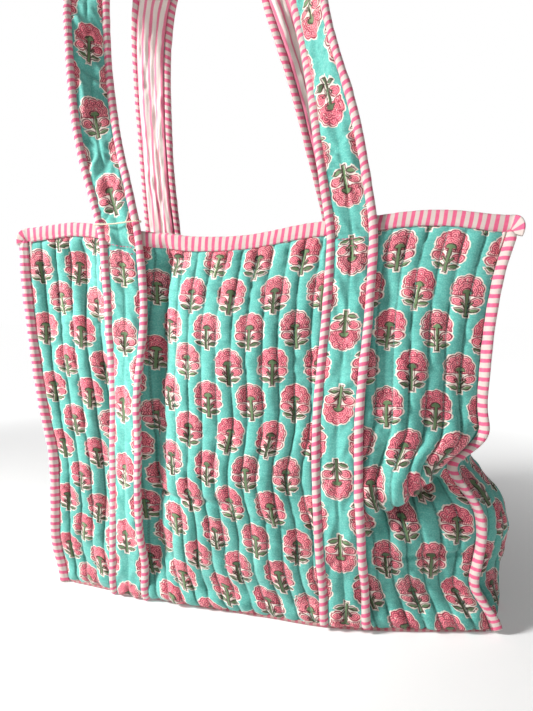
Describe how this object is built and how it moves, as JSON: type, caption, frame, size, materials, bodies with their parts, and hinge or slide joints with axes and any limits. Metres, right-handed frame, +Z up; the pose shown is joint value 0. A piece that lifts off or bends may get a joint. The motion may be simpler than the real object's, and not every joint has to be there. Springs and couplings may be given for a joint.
{
  "type": "knitting tote bag",
  "caption": "Quilted cotton knitting tote with side gussets, striped bindings and a pair of long strap handles that fold down outside.",
  "frame": {"origin": "on the ground under the middle of the bag's box", "axes": "+Z up, -Y out of the front panel, +X to the right seen from the front"},
  "size_m": [0.4742, 0.1971, 0.7018],
  "materials": {
    "printed_cotton": "quilted printed cotton, turquoise ground with pink flowers",
    "wadding": "undyed cotton wadding",
    "striped_lining": "off-white cotton with thin pink stripes",
    "striped_binding": "off-white cotton tape with pink cross stripes",
    "sewing_thread": "matt sewing thread",
    "tag_thread": "twisted cream cotton"
  },
  "bodies": {
    "bag": {"front_outer": "printed_cotton", "front_wadding": "wadding", "front_lining": "striped_lining", "back_outer": "printed_cotton", "back_wadding": "wadding", "back_lining": "striped_lining", "left_gusset_outer": "printed_cotton", "left_gusset_wadding": "wadding", "left_gusset_lining": "striped_lining", "right_gusset_outer": "printed_cotton", "right_gusset_wadding": "wadding", "right_gusset_lining": "striped_lining", "base_outer": "printed_cotton", "base_wadding": "wadding", "base_lining": "striped_lining", "rim_binding_front": "striped_binding", "rim_binding_back": "striped_binding", "rim_binding_left": "striped_binding", "rim_binding_right": "striped_binding", "seam_binding_front_left": "striped_binding", "seam_binding_front_right": "striped_binding", "seam_binding_back_left": "striped_binding", "seam_binding_back_right": "striped_binding", "base_binding_front": "striped_binding", "base_binding_back": "striped_binding", "front_left_strap": "printed_cotton", "front_right_strap": "printed_cotton", "back_left_strap": "printed_cotton", "back_right_strap": "printed_cotton", "front_left_strap_bindings": "striped_binding", "front_right_strap_bindings": "striped_binding", "back_left_strap_bindings": "striped_binding", "back_right_strap_bindings": "striped_binding", "front_anchor_stitches": "sewing_thread", "back_anchor_stitches": "sewing_thread"},
    "front_handle": {"front_handle_web": "printed_cotton", "front_handle_lining": "striped_lining", "front_handle_outer_binding": "striped_binding", "front_handle_inner_binding": "striped_binding", "tag_thread": "tag_thread"},
    "back_handle": {"back_handle_web": "printed_cotton", "back_handle_lining": "striped_lining", "back_handle_outer_binding": "striped_binding", "back_handle_inner_binding": "striped_binding"}
  },
  "joints": [
    {"name": "front_handle_swing", "type": "hinge", "parent": "bag", "child": "front_handle", "pos_m": [-0.013, -0.0762, 0.3645], "axis": [1, 0, 0], "range_deg": [0, 165]},
    {"name": "back_handle_swing", "type": "hinge", "parent": "bag", "child": "back_handle", "pos_m": [-0.027, 0.063, 0.3645], "axis": [-1, 0, 0], "range_deg": [0, 165]}
  ]
}
